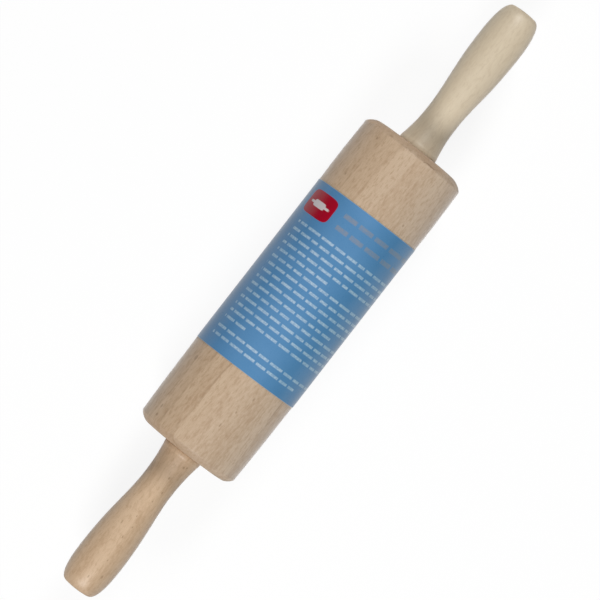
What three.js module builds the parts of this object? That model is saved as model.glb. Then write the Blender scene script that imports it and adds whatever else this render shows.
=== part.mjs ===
// Mini rolling pin of turned beech. The barrel rolls on a dowel that runs right through it. A turned handle
// is glued to each end of the dowel. A paper label is wrapped round the barrel with its ends lapped.
// Millimetres, +Z up. The pin lies along X. The origin is under its middle, on the surface it rests on.

import * as THREE from "three";

// Barrel
const BARREL_LENGTH = 119.4;
const BARREL_DIAMETER = 37.5;
const BARREL_SIDES = 64;
const EASE_LENGTH = 22; // at each end, where sanding has thinned the barrel
const EASE_DEPTH = 0.35; // taken off the radius where the chamfer starts
const CHAMFER_LENGTH = 2; // along the axis
const CHAMFER_DEPTH = 2.4; // towards the axis
const CHAMFER_SOFTENING = 0.5; // how far each edge of the chamfer is rounded over
const BORE_MOUTH_CHAMFER = 0.8;

// Dowel axle, free to turn in the barrel and glued into the handles
const AXLE_DIAMETER = 8;
const AXLE_SIDES = 48;
const AXLE_TIP_CHAMFER = 1;
const RUNNING_CLEARANCE = 0.08; // between the axle and the barrel's bore, all round
const GLUE_CLEARANCE = 0.05; // between the axle and a handle's socket, all round
const TIP_CLEARANCE = 0.3; // between the axle's tip and the foot of the socket
const END_PLAY = 0.25; // between each end of the barrel and its handle

// Handles, described from the base at the barrel outwards
const HANDLE_SIDES = 48;
const RIM_DIAMETER = 13.6; // where the rounded rim runs into the flare
const RIM_ROUNDING = 1.2;
const FLARE_LENGTH = 12.15; // from the rim to the neck
const FLARE_SLOPE = 0.17; // how steeply the flare leaves the rim
const NECK_DIAMETER = 11.4;
const SWELL_LENGTH = 28.8; // from the neck to the thickest part of the grip
const GRIP_DIAMETER = 15.05;
const NOSE_LENGTH = 12.57; // from the thickest part to the edge of the crowned end
const END_DIAMETER = 8; // at the edge of the crowned end
const END_CROWN = 0.33; // how far the middle of the end stands out
const END_FLAT_DIAMETER = 2.6; // the flat spot in the middle of the end
const SOCKET_DEPTH = 30; // the straight part of the socket
const SOCKET_POINT = 2.4; // height of the cone that the drill leaves
const SOCKET_MOUTH_CHAMFER = 0.5;

// How full the handle's curves are, as shares of the stretch that each one spans
const FLARE_FULLNESS = [0.33, 0.49];
const SWELL_FULLNESS = [0.29, 0.5];
const NOSE_FULLNESS = [0.66, 0.66];

// Paper label
const LABEL_WIDTH = 62;
const LABEL_OFFSET = 3; // from the barrel's middle towards +X
const LABEL_THICKNESS = 0.12;
const LABEL_GLUE = 0.05; // the layer of glue between the paper and the wood
const LABEL_LAP_FACETS = 5; // how many of the barrel's facets the lapped ends cover
const LABEL_LAP_ANGLE = 100; // degrees from the top, towards +Y, at the lap's free edge

// How finely curved stretches are drawn
const CURVE_STEPS = 9;
const CORNER_STEPS = 3;

// Values that follow from those above
const barrelRadius = BARREL_DIAMETER / 2;
const axleRadius = AXLE_DIAMETER / 2;
const labelInnerRadius = barrelRadius + LABEL_GLUE;
const labelOuterRadius = labelInnerRadius + LABEL_THICKNESS;
const facetAngle = (2 * Math.PI) / BARREL_SIDES;
const axisHeight = labelOuterRadius * Math.cos(facetAngle / 2);
const handleBase = BARREL_LENGTH / 2 + END_PLAY;
const axleHalfLength = handleBase + SOCKET_DEPTH - TIP_CLEARANCE;

const beech = (color) => new THREE.MeshStandardMaterial({ color, roughness: 0.6, metalness: 0 });
const barrelBeech = beech(0xc4aa8f);
const paleBeech = beech(0xd0c1a9);
const warmBeech = beech(0xc9ae90);
const dowelBeech = beech(0xcdb391);
const bluePaper = new THREE.MeshStandardMaterial({ color: 0x4a84b8, roughness: 0.45, metalness: 0 });

const point = (radius, along) => new THREE.Vector2(radius, along);

// A turned solid along X from an outline of (radius, distance along the axis). A facet faces straight down.
function turned(outline, sides) {
  const geometry = new THREE.LatheGeometry(outline, sides, Math.PI / sides);
  return geometry.rotateZ(-Math.PI / 2);
}

// Points of a corner that is rounded over between two points on the lines that meet there.
function roundedCorner(from, corner, to) {
  return new THREE.QuadraticBezierCurve(from, corner, to).getPoints(CORNER_STEPS);
}

// Point at a given distance from one point towards another.
function towards(from, to, distance) {
  return from.clone().lerp(to, distance / from.distanceTo(to));
}

// Half of the barrel's outline, from the end of its straight middle round to the bore, at the +X end.
function barrelHalfOutline() {
  const half = BARREL_LENGTH / 2;
  const boreRadius = axleRadius + RUNNING_CLEARANCE;
  const endRadius = barrelRadius - EASE_DEPTH;
  const easeStart = point(barrelRadius, half - CHAMFER_LENGTH - EASE_LENGTH);
  const easeMiddle = point(barrelRadius, half - CHAMFER_LENGTH - EASE_LENGTH / 2);
  const chamferOuter = point(endRadius, half - CHAMFER_LENGTH);
  const chamferInner = point(endRadius - CHAMFER_DEPTH, half);
  const mouthOuter = point(boreRadius + BORE_MOUTH_CHAMFER, half);
  const mouthInner = point(boreRadius, half - BORE_MOUTH_CHAMFER);
  const easeEnd = towards(chamferOuter, easeMiddle, CHAMFER_SOFTENING);
  return [
    ...new THREE.QuadraticBezierCurve(easeStart, easeMiddle, easeEnd).getPoints(CURVE_STEPS),
    ...roundedCorner(easeEnd, chamferOuter, towards(chamferOuter, chamferInner, CHAMFER_SOFTENING)).slice(1),
    ...roundedCorner(
      towards(chamferInner, chamferOuter, CHAMFER_SOFTENING),
      chamferInner,
      towards(chamferInner, mouthOuter, CHAMFER_SOFTENING),
    ),
    mouthOuter,
    mouthInner,
  ];
}

function barrelGeometry() {
  const high = barrelHalfOutline();
  const low = high.map((p) => point(p.x, -p.y)).reverse();
  return turned([...high, ...low, high[0].clone()], BARREL_SIDES);
}

function axleGeometry() {
  const tipRadius = axleRadius - AXLE_TIP_CHAMFER;
  const shoulder = axleHalfLength - AXLE_TIP_CHAMFER;
  const outline = [
    point(0, -axleHalfLength),
    point(tipRadius, -axleHalfLength),
    point(axleRadius, -shoulder),
    point(axleRadius, shoulder),
    point(tipRadius, axleHalfLength),
    point(0, axleHalfLength),
  ];
  return turned(outline, AXLE_SIDES);
}

// Outside of a handle, from the edge of its base to the edge of its flat end.
function handleOutside() {
  const rim = RIM_DIAMETER / 2;
  const neck = NECK_DIAMETER / 2;
  const grip = GRIP_DIAMETER / 2;
  const endEdge = END_DIAMETER / 2;
  const endFlat = END_FLAT_DIAMETER / 2;
  const neckAt = RIM_ROUNDING + FLARE_LENGTH;
  const gripAt = neckAt + SWELL_LENGTH;
  const noseAt = gripAt + NOSE_LENGTH;
  const endAt = noseAt + END_CROWN;
  const [flareLeave, flareArrive] = FLARE_FULLNESS.map((share) => share * FLARE_LENGTH);
  const [swellLeave, swellArrive] = SWELL_FULLNESS.map((share) => share * SWELL_LENGTH);
  const noseLeave = NOSE_FULLNESS[0] * NOSE_LENGTH;
  const noseArrive = NOSE_FULLNESS[1] * (grip - endEdge);
  const rounding = roundedCorner(
    point(rim - RIM_ROUNDING, 0),
    point(rim + FLARE_SLOPE * RIM_ROUNDING, 0),
    point(rim, RIM_ROUNDING),
  );
  const flare = new THREE.CubicBezierCurve(
    point(rim, RIM_ROUNDING),
    point(rim - FLARE_SLOPE * flareLeave, RIM_ROUNDING + flareLeave),
    point(neck, neckAt - flareArrive),
    point(neck, neckAt),
  );
  const swell = new THREE.CubicBezierCurve(
    point(neck, neckAt),
    point(neck, neckAt + swellLeave),
    point(grip, gripAt - swellArrive),
    point(grip, gripAt),
  );
  const nose = new THREE.CubicBezierCurve(
    point(grip, gripAt),
    point(grip, gripAt + noseLeave),
    point(endEdge + noseArrive, noseAt),
    point(endEdge, noseAt),
  );
  const crown = roundedCorner(
    point(endEdge, noseAt),
    point((endEdge + endFlat) / 2, endAt),
    point(endFlat, endAt),
  );
  const curves = [flare, swell, nose].flatMap((curve) => curve.getPoints(CURVE_STEPS).slice(1));
  return [...rounding, ...curves, ...crown.slice(1)];
}

// A handle on the +X axis, with its base at the origin and a blind socket for the axle.
function handleGeometry() {
  const socket = axleRadius + GLUE_CLEARANCE;
  const outside = handleOutside();
  const end = outside[outside.length - 1];
  const outline = [
    point(0, SOCKET_DEPTH + SOCKET_POINT),
    point(socket, SOCKET_DEPTH),
    point(socket, SOCKET_MOUTH_CHAMFER),
    point(socket + SOCKET_MOUTH_CHAMFER, 0),
    ...outside,
    point(0, end.y),
  ];
  return turned(outline, HANDLE_SIDES);
}

// The label, whose facets lie over the barrel's. One end of the paper laps the other, so the outside steps up
// by one thickness at the free edge and runs down again over the buried one.
function labelGeometry() {
  const corner = (radius, facet) => {
    const angle = (facet + 0.5) * facetAngle;
    return new THREE.Vector2(radius * Math.cos(angle), radius * Math.sin(angle));
  };
  const firstLapFacet = Math.round((LABEL_LAP_ANGLE * Math.PI) / 180 / facetAngle);
  const outside = [];
  const inside = [];
  for (let facet = 0; facet < BARREL_SIDES; facet += 1) {
    const raised = facet <= LABEL_LAP_FACETS;
    const radius = labelOuterRadius + (raised ? LABEL_THICKNESS : 0);
    if (facet === 0) outside.push(corner(labelOuterRadius, firstLapFacet));
    outside.push(corner(radius, firstLapFacet + facet));
    inside.push(corner(labelInnerRadius, firstLapFacet + facet));
  }
  const section = new THREE.Shape(outside);
  section.holes.push(new THREE.Path(inside));
  const geometry = new THREE.ExtrudeGeometry(section, { depth: LABEL_WIDTH, bevelEnabled: false });
  return geometry.translate(0, 0, -LABEL_WIDTH / 2).rotateY(-Math.PI / 2);
}

function piece(name, geometry, material) {
  const mesh = new THREE.Mesh(geometry, material);
  mesh.name = name;
  return mesh;
}

// What rolls: the barrel and its label.
function roller() {
  const label = piece("paper_label", labelGeometry(), bluePaper);
  label.position.x = LABEL_OFFSET;
  return new THREE.Group().add(piece("barrel", barrelGeometry(), barrelBeech), label);
}

// What is held: the axle with a handle glued to each end.
function spindle() {
  const rightHandle = piece("right_handle", handleGeometry(), paleBeech);
  rightHandle.position.x = handleBase;
  const leftHandle = piece("left_handle", handleGeometry(), warmBeech);
  leftHandle.position.x = -handleBase;
  leftHandle.rotation.z = Math.PI;
  return new THREE.Group().add(piece("axle_dowel", axleGeometry(), dowelBeech), rightHandle, leftHandle);
}

const rollingPin = new THREE.Group().add(roller(), spindle());
rollingPin.position.z = axisHeight;

export default rollingPin;
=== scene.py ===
import math

import bpy
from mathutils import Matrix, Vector, noise


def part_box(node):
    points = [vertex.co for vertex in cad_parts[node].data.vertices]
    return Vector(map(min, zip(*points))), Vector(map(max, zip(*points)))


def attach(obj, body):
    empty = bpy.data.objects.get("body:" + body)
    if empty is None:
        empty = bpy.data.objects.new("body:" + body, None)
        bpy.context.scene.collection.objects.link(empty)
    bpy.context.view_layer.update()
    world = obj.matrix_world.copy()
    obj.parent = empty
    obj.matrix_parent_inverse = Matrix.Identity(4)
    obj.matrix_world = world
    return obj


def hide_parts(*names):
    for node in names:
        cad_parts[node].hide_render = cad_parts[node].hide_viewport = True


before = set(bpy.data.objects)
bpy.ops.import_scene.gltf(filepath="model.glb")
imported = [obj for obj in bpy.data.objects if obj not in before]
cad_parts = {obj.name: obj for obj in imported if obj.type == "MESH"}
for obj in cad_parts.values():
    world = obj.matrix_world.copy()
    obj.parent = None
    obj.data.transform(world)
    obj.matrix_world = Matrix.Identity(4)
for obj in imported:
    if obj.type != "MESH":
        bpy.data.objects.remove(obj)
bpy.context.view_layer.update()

# A mini rolling pin of turned beech with a blue paper label. Sizes are in millimetres about the pin's axis,
# with x from the middle towards the paler handle. They become metres in the row frame when a mesh is made.
MM = 0.001
SHARP_DEGREES = 32
WHITE = (1, 1, 1, 1)
# Unevenness left by hand sanding: its waves in a millimetre along a turned piece, and on a circle round it
SANDING_ALONG = 0.06
SANDING_ROUND = 0.9

low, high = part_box("axle_dowel")
AXIS = (low[2] + high[2]) / 2  # height of the pin's axis, in metres

# Barrel
BARREL_HALF = 59.7
BARREL_GIRTH = (  # x and radius: a little slimmer at the left end, as the real one is
    (-57.7, 18.22), (-50, 18.44), (-40, 18.58), (-29, 18.69), (0, 18.68), (22, 18.70),
    (34, 18.73), (36, 18.76), (38, 18.84), (43, 18.87), (50, 18.80), (57.7, 18.63),
)
GIRTH_EASING = 3.0
GIRTH_STEPS = 4
EASED_HALF = 52.0
END_SKEW = 0.009
SKEW_POWER = 4
# Rounded chamfers at the left (-1) and right end: length, depth, and where along each the curve's handle is
CHAMFER_LENGTH = {-1: 2.3, 1: 2.35}
CHAMFER_DEPTH = {-1: 3.0, 1: 3.6}
CHAMFER_HANDLE = {-1: (0.73, 0.37), 1: (0.72, 0.35)}
CHAMFER_SOFTENING = 0.1
# Small dents on the barrel's edges: end, degrees from the top towards +Y, depth and width
DENTS = (
    (-1, 24, 0.16, 0.9), (-1, -41, 0.22, 1.3), (-1, 150, 0.20, 1.1), (-1, -118, 0.15, 0.8),
    (1, 8, 0.20, 1.2), (1, -33, 0.14, 0.8), (1, 61, 0.20, 1.0), (1, 170, 0.22, 1.4), (1, -95, 0.16, 0.9),
)
BORE_RADIUS = 4.08
BORE_MOUTH = 0.8
SANDED_FROM = 13.0  # radius beyond which the barrel is uneven and dented
BARREL_UNEVENNESS = 0.012
BARREL_SEED = 3.7
BARREL_SEGMENTS = 224
BARREL_RINGS = 72
SOFTENING_STEPS = 4
CHAMFER_STEPS = 14
END_FACE_STEP = 1.6

# Handles, from the base at the barrel outwards
HANDLE_BASE = 59.77
RIM_ROUNDING = 0.95
RIM_DROP = 0.38
RIM_SLOPE = 0.10
SHOULDER_AT = 1.42
SHOULDER_LENGTH = 0.8
SHOULDER_DROP = 0.19
FLARE_LENGTH = 11.31
SWELL_LENGTH = 28.8
NOSE_LENGTH = 12.57
END_RADIUS = 4.0
END_CROWN = 0.33
SOCKET_RADIUS = 4.05
SOCKET_DEPTH = 30.0
SOCKET_POINT = 2.4
SOCKET_MOUTH = 0.5
# Where the handles of each stretch's curve stand, as shares of that stretch
RIM_HANDLE = 0.75
FLARE_HANDLES = (0.33, 0.49)
SWELL_HANDLES = (0.29, 0.50)
NOSE_HANDLE = 0.66
CROWN_HANDLES = ((0.67, 0.66), (1.0, 0.33))
RIM_STEPS = 12
SHOULDER_STEPS = 12
FLARE_STEPS = 20
SWELL_STEPS = 36
NOSE_STEPS = 36
CROWN_STEPS = 10
HANDLE_UNEVENNESS = 0.04
HANDLE_WAVES = 1.6
HANDLE_SEGMENTS = 144
# What differs between the handles: sizes, the lean towards +Y at the base and at the nose, and the seed
LEFT_SIZES = dict(rim_radius=6.84, flare_slope=0.14, neck_radius=5.75, grip_radius=7.65, nose_fullness=0.71)
LEFT_LEAN = (-0.09, 0.17)
LEFT_SEED = 11.3
RIGHT_SIZES = dict(rim_radius=7.02, flare_slope=0.18, neck_radius=5.73, grip_radius=7.54, nose_fullness=0.62)
RIGHT_LEAN = (0.18, -0.25)
RIGHT_SEED = 23.9

# Label, with the places of its lap in degrees from the top towards +Y
LABEL_LOW = -28.4
LABEL_HIGH = 34.2
LABEL_SKEW = 0.0095
LABEL_GAP = 0.012
LABEL_RADIUS = 18.78
PAPER = 0.11
LAP_TOP = 104.1
LAP_UNDER = 132.2
LAP_RISE = 6.0
LAP_GAP = 0.012
LAP_LIFT = 0.05
LAP_LIFT_REACH = 7.0
CURL = 0.02
CURL_REACH = 3.0
CURL_WAVES = 2.0
RIPPLE = 0.006
RIPPLE_WAVES = (3.0, 0.09)
RIPPLE_SEED = 5.0
LABEL_COLUMNS = 320
LABEL_ROWS = 40


# Materials

def srgb(red, green, blue):
    """Linear colour of an 8-bit sRGB one, by the standard's formula."""
    def linear(value):
        value /= 255
        return value / 12.92 if value <= 0.04045 else ((value + 0.055) / 1.055) ** 2.4
    return (linear(red), linear(green), linear(blue), 1.0)


class Shader:
    """Adds nodes to one material and links them. A value is a constant or another node's output."""

    def __init__(self, name):
        self.material = bpy.data.materials.new(name)
        self.material.use_nodes = True
        self.tree = self.material.node_tree
        self.tree.nodes.clear()
        self.output = self.tree.nodes.new("ShaderNodeOutputMaterial")

    def node(self, kind, inputs=None, **settings):
        node = self.tree.nodes.new(kind)
        for key, value in settings.items():
            setattr(node, key, value)
        for key, value in (inputs or {}).items():
            if isinstance(value, bpy.types.NodeSocket):
                self.tree.links.new(value, node.inputs[key])
            else:
                node.inputs[key].default_value = value
        return node

    def math(self, operation, *values):
        return self.node("ShaderNodeMath", dict(enumerate(values)), operation=operation).outputs[0]

    def times(self, first, *others):
        """Product of two or more values."""
        for other in others:
            first = self.math("MULTIPLY", first, other)
        return first

    def squares(self, a, b):
        """Sum of the squares of two values."""
        return self.math("ADD", self.math("POWER", a, 2), self.math("POWER", b, 2))

    def scaled(self, vector, factors):
        inputs = {0: vector, 1: factors}
        return self.node("ShaderNodeVectorMath", inputs, operation="MULTIPLY").outputs[0]

    def plus(self, vector, offset):
        return self.node("ShaderNodeVectorMath", {0: vector, 1: offset}, operation="ADD").outputs[0]

    def axes(self, vector):
        return self.node("ShaderNodeSeparateXYZ", {0: vector}).outputs

    def noise(self, vector, scale=1.0, detail=2.0, roughness=0.5):
        """Outputs of a noise: its grey level, then its colour."""
        inputs = {"Vector": vector, "Scale": scale, "Detail": detail, "Roughness": roughness}
        return self.node("ShaderNodeTexNoise", inputs).outputs

    def level(self, vector, **settings):
        """Grey level of a noise."""
        return self.noise(vector, **settings)[0]

    def cells(self, vector):
        return self.node("ShaderNodeTexVoronoi", {"Vector": vector, "Scale": 1.0}).outputs

    def smooth(self, value, start, end, to_start=0.0, to_end=1.0):
        """Eases from to_start, where the value is at start or before it, to to_end."""
        inputs = {"Value": value, 1: start, 2: end, 3: to_start, 4: to_end}
        return self.node("ShaderNodeMapRange", inputs, interpolation_type="SMOOTHSTEP").outputs[0]

    def lerp(self, factor, a, b):
        return self.node("ShaderNodeMix", {0: factor, 2: a, 3: b}, data_type="FLOAT").outputs[0]

    def mix(self, factor, a, b, blend="MIX"):
        inputs = {0: factor, 6: a, 7: b}
        return self.node("ShaderNodeMix", inputs, data_type="RGBA", blend_type=blend).outputs[2]

    def over(self, tone, colour, *amounts):
        """A tone with a colour laid over it by the product of the amounts."""
        return self.mix(self.times(*amounts), tone, colour)

    def millimetres(self):
        """Place on the piece in millimetres, with the origin on the pin's axis."""
        place = self.node("ShaderNodeTexCoord").outputs["Object"]
        return self.scaled(self.plus(place, (0, 0, -AXIS)), (1 / MM, 1 / MM, 1 / MM))

    def bump(self, height, strength, distance):
        inputs = {"Height": height, "Strength": strength, "Distance": distance}
        return self.node("ShaderNodeBump", inputs).outputs[0]

    def finished(self, surface):
        self.tree.links.new(surface.outputs[0], self.output.inputs[0])
        return self.material


# Beech: how many cells each noise has in a millimetre along the grain, across it and outwards from the pith
WARP_CELLS = (0.055, 0.175, 0.175)
STREAK_CELLS = (0.011, 0.34, 0.20)
BROAD_CELLS = (0.008, 0.085, 0.06)
BREAK_CELLS = (0.13, 0.4, 0.4)
FIBRE_CELLS = (0.22, 4.2, 4.2)
MOTTLE_CELLS = (0.42, 1.25, 1.25)
RAY_CELLS = (2.6, 12.5, 4.5)
PORE_CELLS = (0.5, 17.0, 17.0)
TURNING_CELLS = (5.5, 0.06, 0.06)
RAGGED_CELLS = (0.9, 0.32, 0.32)
PATCH_CELLS = (0.0, 0.16, 0.16)
SEED_STEP = (17.3, 5.1, 7.7)
# How far the warp bends the rings and the streaks, in millimetres
RING_BEND = (0, 2, 2)
STREAK_BEND = (0, 3, 3)
# Growth rings: the pith's distance from the pin, and the shares of a ring where late wood and its line lie
PITH = 70.0
LATE_RISE = (0.05, 0.88)
LATE_FALL = (1.0, 0.90)
LINE_RISE = (0.80, 0.90)
LINE_FALL = (0.98, 0.90)
# Rings are fainter level with the pin's axis than nearer to the pith or further from it. Towards the right
# end they may be less clear, with an even tone for their late wood. A noise's levels break their lines.
FAINT_LEVEL = (3.0, 12.0)
FAINT_RINGS = 0.4
RIGHT_END = (10.0, 45.0)
LATE_MEAN = 0.6
LINE_BREAKS = (0.42, 0.64, 0.25, 1.1)
# Levels of a noise, or distances from the middle of a cell or a mark, between which a feature comes in
BROAD_PALE = (0.34, 0.66)
STREAK_DARK = (0.48, 0.74)
MOTTLE_DARK = (0.50, 0.64)
MOTTLE_PALE = (0.50, 0.36)
FIBRE_DARK = (0.42, 0.75)
RAY_EDGE = (0.30, 0.14)
PORE_EDGE = (0.34, 0.12)
MARK_EDGE = (1.0, 0.2)
# How much a surface faces along the pin where the end grain's pores, rings, tone and dullness come in
PORES_FACING = (0.60, 0.96)
RINGS_FACING = (0.90, 0.99)
TONE_FACING = (0.35, 1.0)
DULL_FACING = (0.25, 0.75)
# Strengths
FIBRE_STRENGTH = 0.26
RAY_STRENGTH = 0.50
RAY_STRENGTH_AT_END = 0.1
END_RINGS = 1.9
END_TONE = 0.5
END_DULLNESS = 0.16
PORE_STRENGTH = 0.5
MARK_STRENGTH = 0.42
FIBRE_ROUGHNESS = 0.16
FIBRE_HEIGHT = 0.55
TURNING_HEIGHT = 0.5
RAY_DEPTH = 0.35
PORE_DEPTH = 0.8
WOOD_BUMP = (0.30, 0.00012)
# Torn fibres just past the right-hand chamfer's outer edge: how far they wander, how wide they are,
# the noise levels of their patches, and where across the pin they are worst
TEAR_AT = BARREL_HALF - CHAMFER_LENGTH[1] + 0.4
TEAR_WANDER = 2.4
TEAR_EDGE = (0.34, 0.08)
TEAR_PATCHES = (0.46, 0.62, 0.0, 0.30)
WORST_FROM = (-9.0, -7.4)
WORST_TO = (-2.2, -5.2)
WORST_STRENGTH = 0.6
# The rough part of the chamfer beside the tear
ROUGH_FROM = (-12.5, -9.5)
ROUGH_TO = (1.0, -3.0)
ROUGH_RADII = (14.0, 16.5)
ROUGH_SOFTNESS = 0.5
ROUGH_STRENGTH = 0.3
# Small dark marks in the wood: x, y, length and width
BARREL_MARKS = (
    (-39.7, -5.6, 0.55, 0.32), (-45.8, -4.1, 0.9, 0.3), (-55.5, 13.6, 0.6, 0.4), (-52.4, 14.0, 0.9, 0.3),
    (-34.0, 14.8, 1.2, 0.5), (-33.3, -7.5, 0.8, 0.3), (38.0, -11.0, 0.6, 0.35), (39.9, 13.2, 0.6, 0.3),
    (54.6, 12.1, 0.6, 0.3),
)
LEFT_MARKS = (
    (-69.3, -1.7, 0.6, 0.35), (-63.9, -3.3, 0.5, 0.4), (-63.4, -4.2, 0.4, 0.3), (-74.3, -2.8, 0.5, 0.25),
    (-78.2, -2.1, 0.5, 0.22), (-106.6, -4.1, 0.8, 0.4), (-108.9, -0.6, 0.7, 0.3), (-89.0, 1.6, 0.9, 0.2),
    (-101.3, -2.3, 0.5, 0.2), (-92.6, -1.5, 0.6, 0.2), (-88.4, -2.1, 0.5, 0.22), (-84.8, -1.0, 0.5, 0.2),
)


def growth_rings(s, bent, start, pitch):
    """The late wood of each ring and the line at its edge, where bent is the place in the grain.

    A ring begins at start, in millimetres further from the pith than the pin's axis."""
    across, outwards = s.axes(bent)[1:3]
    from_pith = s.math("SQRT", s.squares(across, s.math("ADD", outwards, PITH)))
    phase = s.math("FRACT", s.math("DIVIDE", s.math("SUBTRACT", from_pith, PITH + start), pitch))
    late = s.times(s.smooth(phase, *LATE_RISE), s.smooth(phase, *LATE_FALL))
    line = s.times(s.smooth(phase, *LINE_RISE), s.smooth(phase, *LINE_FALL))
    return late, line


def ray_flecks(s, grain, share):
    """Short dark flecks in the given share of the cells."""
    cells = s.cells(s.scaled(grain, RAY_CELLS))
    chosen = s.math("GREATER_THAN", s.axes(cells["Color"])[0], 1 - share)
    return s.times(s.smooth(cells["Distance"], *RAY_EDGE), chosen)


def dark_mark(s, x, y, mark):
    """A small oval spot, given by x, y, length and width."""
    mark_x, mark_y, length, width = mark
    from_x = s.math("DIVIDE", s.math("SUBTRACT", x, mark_x), length)
    from_y = s.math("DIVIDE", s.math("SUBTRACT", y, mark_y), width)
    return s.smooth(s.squares(from_x, from_y), *MARK_EDGE)


def torn_fibres(s, place, tone, edge, dark, fleck):
    """A tone with torn fibres along the edge at this x and the rough part of the chamfer beside them."""
    x, y, z = s.axes(place)
    on_top = s.math("GREATER_THAN", z, 0.0)
    ragged = s.level(s.scaled(place, RAGGED_CELLS), detail=3, roughness=0.65)
    wander = s.times(s.math("SUBTRACT", ragged, 0.5), TEAR_WANDER)
    gap = s.math("ABSOLUTE", s.math("SUBTRACT", s.math("ADD", x, wander), edge))
    worst = s.times(s.smooth(y, *WORST_FROM), s.smooth(y, *WORST_TO), on_top, WORST_STRENGTH)
    patchy = s.smooth(s.level(s.scaled(place, PATCH_CELLS)), *TEAR_PATCHES)
    tone = s.over(tone, fleck, s.smooth(gap, *TEAR_EDGE), s.math("MAXIMUM", patchy, worst))

    rough_side = s.times(s.smooth(y, *ROUGH_FROM), s.smooth(y, *ROUGH_TO), on_top)
    past_edge = s.smooth(x, edge - ROUGH_SOFTNESS, edge + ROUGH_SOFTNESS)
    outside = s.smooth(s.math("SQRT", s.squares(y, z)), *ROUGH_RADII)
    return s.over(tone, dark, rough_side, past_edge, outside, ROUGH_STRENGTH)


def beech(name, pale, middle, dark, fleck, seed, roll, slope, ring_start=0.0, ring_pitch=3.0, rings=0.3,
          right_rings=1.0, streaks=0.25, mottling=0.36, flecks=0.5, roughness=0.5, painted_side_light=WHITE,
          painted_side_reach=(0.8, -1.0), marks=(), tear_at=None):
    """Turned beech: growth rings, long streaks, ray flecks, fibres and turning marks in the piece's solid.

    roll and slope turn the grain from the pin's axes. The side colour is multiplied in across the pin,
    between two places given as shares of the radius towards +Y; it is painted light and shade: a painted
    pale, bluish sheen on the barrel's -Y flank and painted shade on the left handle's -Y side. marks are
    small dark spots on the top, and tear_at is the x of an edge with torn fibres."""
    s = Shader(name)
    place = s.millimetres()
    x, y, z = s.axes(place)
    normal = s.node("ShaderNodeTexCoord").outputs["Normal"]
    facing = s.math("ABSOLUTE", s.axes(normal)[0])
    end = s.smooth(facing, *PORES_FACING)

    turned_grain = s.node("ShaderNodeMapping", {"Vector": place, "Rotation": (roll, *slope)}).outputs[0]
    grain = s.plus(turned_grain, tuple(seed * step for step in SEED_STEP))
    warp = s.plus(s.noise(s.scaled(grain, WARP_CELLS), detail=1.5)[1], (-0.5, -0.5, -0.5))
    bent = s.plus(s.scaled(warp, RING_BEND), turned_grain)
    late, line = growth_rings(s, bent, ring_start, ring_pitch)
    drawn = s.plus(s.scaled(warp, STREAK_BEND), grain)
    streak = s.level(s.scaled(drawn, STREAK_CELLS), detail=3, roughness=0.55)
    broad = s.level(s.scaled(drawn, BROAD_CELLS), detail=2)
    broken = s.smooth(s.level(s.scaled(grain, BREAK_CELLS), detail=2), *LINE_BREAKS)
    fibre = s.level(s.scaled(grain, FIBRE_CELLS), detail=3, roughness=0.6)
    mottle = s.level(s.scaled(grain, MOTTLE_CELLS), detail=4, roughness=0.65)
    rays = ray_flecks(s, grain, flecks)
    pore = s.times(s.smooth(s.cells(s.scaled(grain, PORE_CELLS))["Distance"], *PORE_EDGE), end)

    tone = s.mix(s.smooth(broad, *BROAD_PALE), middle, pale)
    tone = s.over(tone, dark, s.smooth(streak, *STREAK_DARK), streaks)
    off_axis = s.math("ABSOLUTE", s.axes(bent)[2])
    shown = s.smooth(off_axis, *FAINT_LEVEL, FAINT_RINGS * rings, rings)
    shown = s.times(shown, s.smooth(facing, *RINGS_FACING, 1.0, END_RINGS))
    clear = s.smooth(x, *RIGHT_END, 1.0, right_rings)
    tone = s.over(tone, dark, s.lerp(clear, LATE_MEAN, late), shown)
    tone = s.over(tone, fleck, line, clear, shown, broken)
    tone = s.over(tone, dark, s.smooth(mottle, *MOTTLE_DARK), mottling)
    tone = s.over(tone, pale, s.smooth(mottle, *MOTTLE_PALE), mottling)
    tone = s.over(tone, dark, s.smooth(fibre, *FIBRE_DARK), FIBRE_STRENGTH)
    tone = s.over(tone, fleck, rays, s.lerp(end, RAY_STRENGTH, RAY_STRENGTH_AT_END))
    tone = s.over(tone, dark, s.smooth(facing, *TONE_FACING), END_TONE)
    tone = s.over(tone, fleck, pore, PORE_STRENGTH)

    # The radius is kept from falling to nothing at the nose, where the share would jump from side to side
    radius = s.math("MAXIMUM", s.math("SQRT", s.squares(y, z)), END_RADIUS)
    # Painted light and shade: the side colour is multiplied into the wood's colour towards one side
    tone = s.mix(s.smooth(s.math("DIVIDE", y, radius), *painted_side_reach), tone, painted_side_light, "MULTIPLY")
    on_top = s.math("GREATER_THAN", z, 0.0)
    for mark in marks:
        tone = s.over(tone, fleck, dark_mark(s, x, y, mark), on_top, MARK_STRENGTH)
    if tear_at is not None:
        tone = torn_fibres(s, place, tone, tear_at, dark, fleck)

    turning = s.level(s.scaled(place, TURNING_CELLS), detail=2)
    height = s.math("ADD", s.times(fibre, FIBRE_HEIGHT), s.times(turning, TURNING_HEIGHT))
    height = s.math("SUBTRACT", height, s.times(rays, RAY_DEPTH))
    height = s.math("SUBTRACT", height, s.times(pore, PORE_DEPTH))
    rough = s.math("ADD", s.times(fibre, FIBRE_ROUGHNESS), roughness - FIBRE_ROUGHNESS / 2)
    rough = s.math("ADD", rough, s.smooth(facing, *DULL_FACING, 0.0, END_DULLNESS))
    return s.finished(s.node("ShaderNodeBsdfPrincipled", {
        "Base Color": tone,
        "Roughness": rough,
        "Specular IOR Level": 0.5,
        "Sheen Weight": 0.52,
        "Sheen Roughness": 0.26,
        "Normal": s.bump(height, *WOOD_BUMP),
    }))


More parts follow.
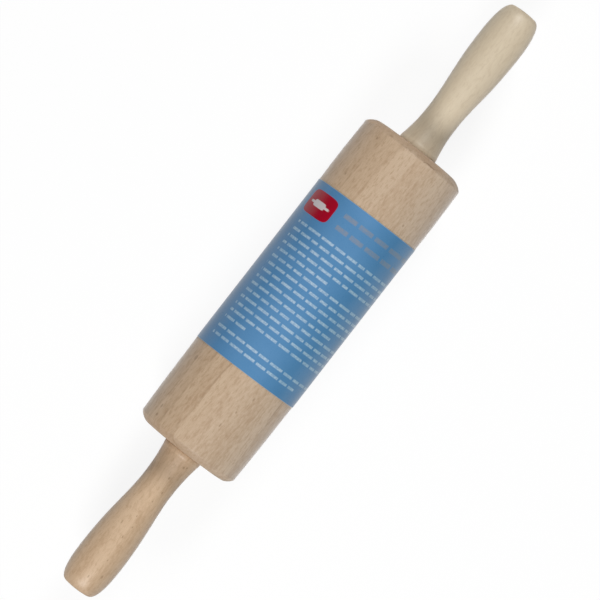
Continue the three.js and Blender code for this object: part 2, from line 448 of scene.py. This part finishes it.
# Print on the label: places along the pin, and across the label from the top towards +Y
PRINT_START = 18.7
PRINT_STOP = -33.0
ROW_SHIFT = 61.7
ROW_SOFTNESS = 0.05
WORD_VARIETY = 0.85
WORD_GAP = (0.06, 0.11)
PRINT_WEAR = (0.30, 0.70, 0.36, 0.76)
HEAD_STRENGTH = 0.77
TILE_AT = (27.4, 15.3)
# Rounded shapes of the tile and of the pin on it: half sizes, squareness, and the edge's outside and inside
TILE = ((4.25, 6.5), 5, (1.02, 0.98))
TILE_PIN_BARREL = ((1.15, 2.7), 6, (1.06, 0.94))
TILE_PIN_HANDLES = ((0.42, 4.6), 8, (1.1, 0.9))
TILE_PIN_STRENGTH = 0.85
# Colours
PAPER_BLUES = (srgb(89, 140, 185), srgb(96, 145, 190))
FIBRE_BLUE = srgb(122, 166, 198)
PRINT_WHITE = srgb(198, 217, 229)
HEAD_GREY = srgb(158, 150, 146)
TILE_RED = srgb(176, 10, 40)
TILE_PIN_WHITE = srgb(236, 226, 224)
CUT_PALE = srgb(176, 196, 210)
# Paper: cells of each noise in a millimetre, the levels between which they show, and strengths
PAPER_FIBRES = 2.6
PAPER_CLOUDS = 0.09
PAPER_RIPPLES = 0.55
PRINT_FLAWS = 1.5
CLOUD_PALE = (0.3, 0.7)
FIBRE_PALE = (0.4, 0.75)
FIBRE_PALENESS = 0.10
PAPER_ROUGHNESS = 0.24
PAPER_FIBRE_ROUGHNESS = 0.10
PAPER_FIBRE_HEIGHT = 0.25
PAPER_BUMP = (0.10, 0.00010)
# Painted shade, darkening the colour towards both sides where less light falls: shares of the radius towards
# +Y between which it comes in, and the shade's colour
UPPER_SHADE_REACH = (0.15, 0.8)
UPPER_PAINTED_SHADE = (0.79, 0.88, 0.91, 1)
LOWER_SHADE_REACH = (0.0, -0.8)
LOWER_PAINTED_SHADE = (0.71, 0.83, 0.84, 1)
# Pale cut edges, from their inner side to their outer one
CUT_EDGE = (0.22, 0.02)
CUT_STRENGTH = 0.55


def dash_rows(s, along, across, top, pitch, count, word, height, seed, start=PRINT_START, short_rows=None):
    """Rows of plain dashes as long as words. short_rows says where some rows stop before the others."""
    row_place = s.math("DIVIDE", s.math("SUBTRACT", top + pitch / 2, along), pitch)
    row = s.math("FLOOR", row_place)
    off_middle = s.math("ABSOLUTE", s.math("SUBTRACT", s.math("SUBTRACT", row_place, row), 0.5))
    half = height / pitch / 2
    bar = s.smooth(off_middle, half + ROW_SOFTNESS, half - ROW_SOFTNESS)
    counted = s.times(s.math("GREATER_THAN", row, -0.5), s.math("LESS_THAN", row, count - 0.5))

    run = s.math("ADD", across, s.times(s.math("ADD", row, seed), ROW_SHIFT))
    words = s.node(
        "ShaderNodeTexVoronoi", {"W": run, "Scale": 1 / word, "Randomness": WORD_VARIETY},
        voronoi_dimensions="1D", feature="DISTANCE_TO_EDGE",
    )
    inked = s.smooth(words.outputs["Distance"], *WORD_GAP)
    stop = PRINT_STOP
    for number, place in (short_rows or {}).items():
        is_row = s.math("COMPARE", row, number, 0.5)
        stop = s.math("ADD", stop, s.times(is_row, place - PRINT_STOP))
    in_row = s.times(s.math("LESS_THAN", across, start), s.math("GREATER_THAN", across, stop))
    return s.times(bar, inked, counted, in_row)


def rounded(s, x, y, half, power, edge):
    """A rounded rectangle about the origin, squarer with a higher power."""
    powers = []
    for place, reach in zip((x, y), half):
        powers.append(s.math("POWER", s.math("ABSOLUTE", s.math("DIVIDE", place, reach)), power))
    return s.smooth(s.math("POWER", s.math("ADD", *powers), 1 / power), *edge)


def label_paper(name):
    """Satin coated blue paper, printed with pale rows of plain dashes, two grey rows and a red tile."""
    s = Shader(name)
    place = s.millimetres()
    x, y, z = s.axes(place)
    across = s.times(s.math("ARCTAN2", y, z), LABEL_RADIUS)
    along = s.math("ADD", x, s.times(across, LABEL_SKEW))

    fibres = s.level(place, scale=PAPER_FIBRES, detail=3, roughness=0.6)
    cloud = s.level(place, scale=PAPER_CLOUDS, detail=2)
    tone = s.mix(s.smooth(cloud, *CLOUD_PALE), *PAPER_BLUES)
    tone = s.over(tone, FIBRE_BLUE, s.smooth(fibres, *FIBRE_PALE), FIBRE_PALENESS)

    main = dash_rows(s, along, across, top=19.7, pitch=2.664, count=15, word=4.6, height=0.88, seed=3,
                     short_rows={4: -4.2, 9: -17.0, 14: 8.0})
    foot = dash_rows(s, along, across, top=-21.1, pitch=2.7, count=2, word=4.4, height=0.88, seed=41,
                     short_rows={1: -19.0})
    head = dash_rows(s, along, across, top=29.4, pitch=4.4, count=2, word=6.4, height=1.5, seed=83, start=5.4)
    worn = s.smooth(s.level(place, scale=PRINT_FLAWS, detail=2, roughness=0.6), *PRINT_WEAR)
    tone = s.over(tone, PRINT_WHITE, s.math("MAXIMUM", main, foot), worn)
    tone = s.over(tone, HEAD_GREY, head, worn, HEAD_STRENGTH)

    tile_x = s.math("SUBTRACT", along, TILE_AT[0])
    tile_y = s.math("SUBTRACT", across, TILE_AT[1])
    pin_barrel = rounded(s, tile_x, tile_y, *TILE_PIN_BARREL)
    pin_handles = rounded(s, tile_x, tile_y, *TILE_PIN_HANDLES)
    tone = s.mix(rounded(s, tile_x, tile_y, *TILE), tone, TILE_RED)
    tone = s.over(tone, TILE_PIN_WHITE, s.math("MAXIMUM", pin_barrel, pin_handles), TILE_PIN_STRENGTH)

    flank = s.math("DIVIDE", y, LABEL_RADIUS)
    # Painted shade: the colour is darkened towards both flanks of the label, where less light falls
    tone = s.mix(s.smooth(flank, *UPPER_SHADE_REACH), tone, UPPER_PAINTED_SHADE, "MULTIPLY")
    tone = s.mix(s.smooth(flank, *LOWER_SHADE_REACH), tone, LOWER_PAINTED_SHADE, "MULTIPLY")
    low_edge = s.smooth(s.math("SUBTRACT", along, LABEL_LOW), *CUT_EDGE)
    high_edge = s.smooth(s.math("SUBTRACT", LABEL_HIGH, along), *CUT_EDGE)
    tone = s.over(tone, CUT_PALE, s.math("MAXIMUM", low_edge, high_edge), CUT_STRENGTH)

    ripple = s.level(place, scale=PAPER_RIPPLES, detail=2)
    height = s.math("ADD", s.times(fibres, PAPER_FIBRE_HEIGHT), ripple)
    return s.finished(s.node("ShaderNodeBsdfPrincipled", {
        "Base Color": tone,
        "Roughness": s.math("ADD", s.times(fibres, PAPER_FIBRE_ROUGHNESS), PAPER_ROUGHNESS),
        "Specular IOR Level": 0.32,
        "Normal": s.bump(height, *PAPER_BUMP),
    }))


# Shapes

def bezier(points, steps):
    """Points of a cubic or quadratic curve, without the first one."""
    made = []
    for step in range(1, steps + 1):
        t = step / steps
        level = [Vector(p) for p in points]
        while len(level) > 1:
            level = [a.lerp(b, t) for a, b in zip(level, level[1:])]
        made.append(level[0])
    return made


def subdivided(points, longest):
    """The same line with points added so that no stretch is longer than given."""
    made = [points[0]]
    for a, b in zip(points, points[1:]):
        count = max(1, math.ceil((b - a).length / longest))
        made += [a.lerp(b, step / count) for step in range(1, count + 1)]
    return made


def faces_inwards(mesh):
    """Whether a closed mesh is inside out, by the sign of a rough volume from each face's first corners."""
    volume = 0.0
    for face in mesh.polygons:
        a, b, c = (mesh.vertices[index].co for index in face.vertices[:3])
        volume += a.dot((b - a).cross(c - a)) * (len(face.vertices) - 2)
    return volume < 0


def mesh_object(name, verts, faces):
    """A smooth-shaded object from points in millimetres about the pin's axis."""
    mesh = bpy.data.meshes.new(name)
    mesh.from_pydata([(x * MM, y * MM, z * MM + AXIS) for x, y, z in verts], [], faces)
    mesh.validate()
    mesh.update()
    if faces_inwards(mesh):
        mesh.flip_normals()
    mesh.shade_smooth()
    mesh.set_sharp_from_angle(angle=math.radians(SHARP_DEGREES))
    made = bpy.data.objects.new(name, mesh)
    bpy.context.scene.collection.objects.link(made)
    return made


def turned(name, outline, segments, closed, shape):
    """A turned solid from an outline of (x, radius), where a radius of 0 is a single point on the axis.

    shape(x, radius, angle) gives a point's x, y and z. A closed outline comes back to its start."""
    verts = []
    rings = []
    for x, radius in outline:
        count = segments if radius > 0 else 1
        rings.append(range(len(verts), len(verts) + count))
        verts += [shape(x, radius, 2 * math.pi * k / segments) for k in range(count)]
    pairs = list(zip(rings, rings[1:]))
    if closed:
        pairs.append((rings[-1], rings[0]))
    faces = []
    for a, b in pairs:
        for k in range(segments):
            n = (k + 1) % segments
            if len(a) == 1:
                faces.append((a[0], b[n], b[k]))
            elif len(b) == 1:
                faces.append((a[k], a[n], b[0]))
            else:
                faces.append((a[k], a[n], b[n], b[k]))
    return mesh_object(name, verts, faces)


def unevenness(x, angle, seed, depth):
    """How far hand sanding has left the surface from true at a place on a turned piece."""
    y = math.cos(angle) * SANDING_ROUND
    z = math.sin(angle) * SANDING_ROUND + seed
    return depth * noise.noise(Vector((x * SANDING_ALONG + seed, y, z)))


def girth(x):
    """Radius of the barrel at a place along it, on straight lines between its knots."""
    knots = BARREL_GIRTH
    x = min(max(x, knots[0][0]), knots[-1][0])
    (x0, r0), (x1, r1) = next(pair for pair in zip(knots, knots[1:]) if x <= pair[1][0])
    share = (x - x0) / (x1 - x0)
    return r0 + (r1 - r0) * share


def smooth_girth(x):
    """Radius of the barrel with the corners of its knots eased away, but not near the ends."""
    if abs(x) >= EASED_HALF:
        return girth(x)
    steps = range(-GIRTH_STEPS, GIRTH_STEPS + 1)
    return sum(girth(x + GIRTH_EASING * step / GIRTH_STEPS) for step in steps) / len(steps)


def barrel_shape(x, radius, angle):
    """A point of the barrel, with its sanding, its dents and the skew of its ends."""
    if radius > SANDED_FROM:
        radius -= BARREL_UNEVENNESS - unevenness(x, angle, BARREL_SEED, BARREL_UNEVENNESS)
        for end, degrees, depth, width in DENTS:
            edge = end * (BARREL_HALF - CHAMFER_LENGTH[end])
            turn = (angle - math.radians(degrees) + math.pi) % (2 * math.pi) - math.pi
            gap = math.hypot(turn * LABEL_RADIUS, x - edge)
            radius -= depth * math.exp(-(gap / width) ** 2)
    y = radius * math.sin(angle)
    skew = END_SKEW * y * (x / BARREL_HALF) ** SKEW_POWER
    return (min(max(x + skew, -BARREL_HALF), BARREL_HALF), y, radius * math.cos(angle))


def barrel_end(end):
    """Outline at one end, from the chamfer's outer edge round to the bore."""
    length = CHAMFER_LENGTH[end]
    depth = CHAMFER_DEPTH[end]
    side = BARREL_HALF - length
    radius = girth(end * side)
    outer = Vector((side, radius))
    inner = Vector((BARREL_HALF, radius - depth))
    handle = outer + Vector((CHAMFER_HANDLE[end][0] * length, -CHAMFER_HANDLE[end][1] * depth))
    mouth = Vector((BARREL_HALF, BORE_RADIUS + BORE_MOUTH))
    start = Vector((side - CHAMFER_SOFTENING, girth(end * (side - CHAMFER_SOFTENING))))
    onward = outer + (handle - outer).normalized() * CHAMFER_SOFTENING
    points = [start] + bezier((start, outer, onward), SOFTENING_STEPS)
    points += bezier((onward, handle, inner), CHAMFER_STEPS)
    points += subdivided([inner, mouth], END_FACE_STEP)[1:]
    points.append(Vector((BARREL_HALF - BORE_MOUTH, BORE_RADIUS)))
    return [(end * p.x, p.y) for p in points]


def make_barrel():
    right = barrel_end(1)
    left = barrel_end(-1)
    start = left[0][0]
    span = right[0][0] - start
    middle = [start + span * step / BARREL_RINGS for step in range(BARREL_RINGS)]
    outline = [(x, smooth_girth(x)) for x in middle] + right + left[:0:-1]
    return turned("barrel_turned", outline, BARREL_SEGMENTS, True, barrel_shape)


def handle_outline(rim_radius, flare_slope, neck_radius, grip_radius, nose_fullness):
    """Outline of a handle as (distance from the base, radius), from the socket's point to the end."""
    points = [
        Vector((SOCKET_DEPTH + SOCKET_POINT, 0)), Vector((SOCKET_DEPTH, SOCKET_RADIUS)),
        Vector((SOCKET_MOUTH, SOCKET_RADIUS)), Vector((0, SOCKET_RADIUS + SOCKET_MOUTH)),
        Vector((0, rim_radius - RIM_DROP)),
    ]
    back = RIM_HANDLE * RIM_ROUNDING
    rim = Vector((RIM_ROUNDING, rim_radius))
    points += bezier((points[-1], rim + Vector((-back, RIM_SLOPE * back)), rim), RIM_STEPS)

    third = SHOULDER_LENGTH / 3
    shoulder = Vector((SHOULDER_AT, rim_radius - RIM_SLOPE * (SHOULDER_AT - RIM_ROUNDING)))
    flare = shoulder + Vector((SHOULDER_LENGTH, -SHOULDER_DROP))
    rounded_off = shoulder + Vector((third, -RIM_SLOPE * third))
    eased = flare + Vector((-third, flare_slope * third))
    points += [shoulder] + bezier((shoulder, rounded_off, eased, flare), SHOULDER_STEPS)

    neck = Vector((flare.x + FLARE_LENGTH, neck_radius))
    leaving, reaching = (share * FLARE_LENGTH for share in FLARE_HANDLES)
    sloped = flare + Vector((leaving, -flare_slope * leaving))
    points += bezier((flare, sloped, neck - Vector((reaching, 0)), neck), FLARE_STEPS)

    grip = Vector((neck.x + SWELL_LENGTH, grip_radius))
    leaving, reaching = (Vector((share * SWELL_LENGTH, 0)) for share in SWELL_HANDLES)
    points += bezier((neck, neck + leaving, grip - reaching, grip), SWELL_STEPS)

    end = Vector((grip.x + NOSE_LENGTH, END_RADIUS))
    leaving = Vector((nose_fullness * NOSE_LENGTH, 0))
    reaching = Vector((0, NOSE_HANDLE * (grip_radius - END_RADIUS)))
    points += bezier((grip, grip + leaving, end + reaching, end), NOSE_STEPS)

    crown = [(end.x + along * END_CROWN, across * END_RADIUS) for along, across in CROWN_HANDLES]
    points += bezier((end, *crown, (end.x + END_CROWN, 0)), CROWN_STEPS)
    return [(p.x, p.y) for p in points]


def make_handle(name, end, sizes, lean, seed):
    """A handle at the left (-1) or right end. lean is its shift towards +Y at the base and at the nose."""
    outline = handle_outline(**sizes)
    length = outline[-1][0]

    def shape(x, radius, angle):
        if radius > SOCKET_RADIUS + SOCKET_MOUTH:
            radius += unevenness(x * HANDLE_WAVES, angle, seed, HANDLE_UNEVENNESS) - HANDLE_UNEVENNESS / 2
        shift = lean[0] + (lean[1] - lean[0]) * x / length
        return (end * (HANDLE_BASE + x), radius * math.sin(angle) + shift, radius * math.cos(angle))

    return turned(name, outline, HANDLE_SEGMENTS, False, shape)


def paper_lift(run, whole):
    """How far the strip rises off the barrel to lap over its own start, at a run in degrees along it."""
    rise = min(max((run - 360 + LAP_RISE) / LAP_RISE, 0), 1)
    lap = (PAPER + LAP_GAP) * rise * rise * (3 - 2 * rise)
    return lap + LAP_LIFT * max(0, (run - whole + LAP_LIFT_REACH) / LAP_LIFT_REACH) ** 2


def paper_waves(x, angle, from_edge):
    """The curl of the label's edges and the ripple of the paper at a place on it."""
    curl = CURL * max(0, 1 - from_edge / CURL_REACH) ** 2
    curl *= 0.5 + 0.5 * noise.noise(Vector((angle * CURL_WAVES, x, 0)))
    place = Vector((angle * RIPPLE_WAVES[0], x * RIPPLE_WAVES[1], RIPPLE_SEED))
    return curl + RIPPLE * noise.noise(place)


def strip_faces(columns, rows):
    """Faces of a closed strip whose outer points come before its inner ones, column by column."""
    step = rows + 1
    count = (columns + 1) * step
    faces = []
    for column in range(columns):
        a = column * step
        b = a + step
        for row in range(rows):
            faces.append((a + row, a + row + 1, b + row + 1, b + row))
            faces.append((count + a + row, count + b + row, count + b + row + 1, count + a + row + 1))
        faces.append((a, b, count + b, count + a))
        faces.append((b + rows, a + rows, count + a + rows, count + b + rows))
    last = columns * step
    for row in range(rows):
        faces.append((row + 1, row, count + row, count + row + 1))
        faces.append((last + row, last + row + 1, count + last + row + 1, count + last + row))
    return faces


def make_label():
    """The paper strip, wrapped once round the barrel and lapped over its own start."""
    whole = 360 + LAP_UNDER - LAP_TOP
    width = LABEL_HIGH - LABEL_LOW
    outer = []
    inner = []
    for column in range(LABEL_COLUMNS + 1):
        run = whole * column / LABEL_COLUMNS
        angle = math.radians(LAP_UNDER - run)
        lift = paper_lift(run, whole)
        from_top = (math.degrees(angle) + 180) % 360 - 180
        shift = -LABEL_SKEW * math.radians(from_top) * LABEL_RADIUS
        for row in range(LABEL_ROWS + 1):
            share = row / LABEL_ROWS
            x = LABEL_LOW + width * share
            waves = paper_waves(x, angle, min(share, 1 - share) * width)
            radius = smooth_girth(x + shift) + LABEL_GAP + lift + waves
            for points, r in ((inner, radius), (outer, radius + PAPER)):
                points.append((x + shift, r * math.sin(angle), r * math.cos(angle)))
    return mesh_object("label_wrap", outer + inner, strip_faces(LABEL_COLUMNS, LABEL_ROWS))


# Studio, in metres. The floor throws grey light back, and in view it is nearly white with a faint shadow
FLOOR_HALF = 4.0
FLOOR_GREY = (0.6, 0.6, 0.6, 1)
FLOOR_GLOW = 0.9
AMBIENT = 0.03
# Each soft light's name, turn from +X and height in degrees, distance, width and power
LIGHTS = (
    ("light_over_left", 194.5, 45, 1.1, 0.42, 9.05),
    ("light_over_right", 6.5, 43, 1.1, 0.40, 7.25),
)
# The photograph's frame, with the sensor in millimetres
CAMERA_TURN = math.radians(52.145)
CAMERA_DISTANCE = 1.35
FRAME_WIDTH = 0.18892
FRAME_OFFSET = (-0.000107, 0.00016)
SENSOR = 36.0


def make_floor():
    """A plain floor that the camera and reflections see as nearly white."""
    half = FLOOR_HALF
    corners = [(-half, -half, 0), (half, -half, 0), (half, half, 0), (-half, half, 0)]
    mesh = bpy.data.meshes.new("floor")
    mesh.from_pydata(corners, [], [(0, 1, 2, 3)])
    floor = bpy.data.objects.new("floor", mesh)
    bpy.context.scene.collection.objects.link(floor)
    s = Shader("floor_white")
    rays = s.node("ShaderNodeLightPath").outputs
    seen = s.math("MAXIMUM", rays["Is Camera Ray"], rays["Is Glossy Ray"])
    seen = s.math("MAXIMUM", seen, rays["Is Transmission Ray"])
    plain = s.node("ShaderNodeBsdfDiffuse", {"Color": FLOOR_GREY}).outputs[0]
    shaded = s.node("ShaderNodeBsdfDiffuse", {"Color": WHITE}).outputs[0]
    glow = s.node("ShaderNodeEmission", {"Color": WHITE, "Strength": 1.0}).outputs[0]
    pale = s.node("ShaderNodeMixShader", {0: FLOOR_GLOW, 1: shaded, 2: glow}).outputs[0]
    mesh.materials.append(s.finished(s.node("ShaderNodeMixShader", {0: seen, 1: plain, 2: pale})))


def make_surroundings():
    """White to the camera, and nearly dark to the object."""
    world = bpy.data.worlds.new("surroundings")
    bpy.context.scene.world = world
    world.use_nodes = True
    tree = world.node_tree
    background = tree.nodes["Background"]
    background.inputs["Color"].default_value = WHITE
    path = tree.nodes.new("ShaderNodeLightPath")
    level = tree.nodes.new("ShaderNodeMapRange")
    level.inputs["To Min"].default_value = AMBIENT
    level.inputs["To Max"].default_value = 1.0
    tree.links.new(path.outputs["Is Camera Ray"], level.inputs["Value"])
    tree.links.new(level.outputs[0], background.inputs["Strength"])


def make_light(name, turn, height, distance, width, power):
    """A round soft light that looks at the middle of the pin."""
    lamp = bpy.data.lights.new(name, "AREA")
    lamp.shape = "DISK"
    lamp.size = width
    lamp.energy = power
    holder = bpy.data.objects.new(name, lamp)
    turn = math.radians(turn)
    height = math.radians(height)
    flat = math.cos(height)
    towards = Vector((flat * math.cos(turn), flat * math.sin(turn), math.sin(height)))
    holder.location = towards * distance + Vector((0, 0, AXIS))
    holder.rotation_euler = towards.to_track_quat("Z", "Y").to_euler()
    bpy.context.scene.collection.objects.link(holder)


def make_camera():
    """The photograph's view, from straight above with the pin turned in the frame."""
    data = bpy.data.cameras.new("camera")
    data.sensor_fit = "HORIZONTAL"
    data.sensor_width = SENSOR
    data.lens = SENSOR * CAMERA_DISTANCE / FRAME_WIDTH
    camera = bpy.data.objects.new("camera", data)
    right = Vector((math.cos(CAMERA_TURN), -math.sin(CAMERA_TURN), 0))
    up = Vector((math.sin(CAMERA_TURN), math.cos(CAMERA_TURN), 0))
    aside = right * FRAME_OFFSET[0] + up * FRAME_OFFSET[1]
    camera.location = aside + Vector((0, 0, AXIS + CAMERA_DISTANCE))
    camera.rotation_euler = (0, 0, -CAMERA_TURN)
    bpy.context.scene.collection.objects.link(camera)
    bpy.context.scene.camera = camera


# The scene

def dress(piece, body, node, material):
    """Gives a piece its material, hangs it on the body it rides on and hides the node it stands for."""
    piece.data.materials.append(material)
    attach(piece, body)
    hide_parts(node)


bpy.context.scene.view_settings.view_transform = "Standard"
make_floor()
make_surroundings()
for light in LIGHTS:
    make_light(*light)
make_camera()

# The barrel's side colour is a painted sheen: its -Y flank is painted paler and bluer, like a reflection of
# the white surroundings
barrel_wood = beech(
    "barrel_beech", pale=srgb(210, 184, 155), middle=srgb(202, 174, 144), dark=srgb(171, 138, 106),
    fleck=srgb(132, 100, 74), seed=1.0, roll=-0.35, slope=(0.05, 0.012), ring_start=14.0, ring_pitch=4.0,
    rings=0.32, right_rings=0.5, mottling=0.46, roughness=0.44, painted_side_light=(1.0, 1.09, 1.21, 1), marks=BARREL_MARKS,
    tear_at=TEAR_AT,
)
# The left handle's side colour is painted shade: its -Y side is painted darker
left_wood = beech(
    "left_handle_beech", pale=srgb(216, 188, 157), middle=srgb(209, 180, 149), dark=srgb(183, 151, 118),
    fleck=srgb(128, 98, 68), seed=2.0, roll=2.2, slope=(0.02, 0.04), rings=0.22, streaks=0.5, mottling=0.44,
    roughness=0.44, painted_side_light=(0.82, 0.83, 0.83, 1), painted_side_reach=(-0.1, -1.0), marks=LEFT_MARKS,
)
right_wood = beech(
    "right_handle_beech", pale=srgb(222, 207, 182), middle=srgb(216, 200, 174), dark=srgb(200, 182, 155),
    fleck=srgb(178, 158, 128), seed=3.0, roll=0.3, slope=(0.02, 0.03), rings=0.10, streaks=0.3, flecks=0.15,
    roughness=0.44,
)
dowel_wood = beech(
    "dowel_beech", pale=srgb(212, 188, 156), middle=srgb(202, 176, 144), dark=srgb(178, 148, 116),
    fleck=srgb(140, 108, 80), seed=4.0, roll=1.4, slope=(0.01, 0.02),
)

dress(make_barrel(), "roller", "barrel", barrel_wood)
dress(make_label(), "roller", "paper_label", label_paper("label_blue_paper"))
left = make_handle("left_handle_turned", -1, LEFT_SIZES, LEFT_LEAN, LEFT_SEED)
dress(left, "spindle", "left_handle", left_wood)
right = make_handle("right_handle_turned", 1, RIGHT_SIZES, RIGHT_LEAN, RIGHT_SEED)
dress(right, "spindle", "right_handle", right_wood)
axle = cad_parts["axle_dowel"]
axle.data.materials.clear()
axle.data.materials.append(dowel_wood)
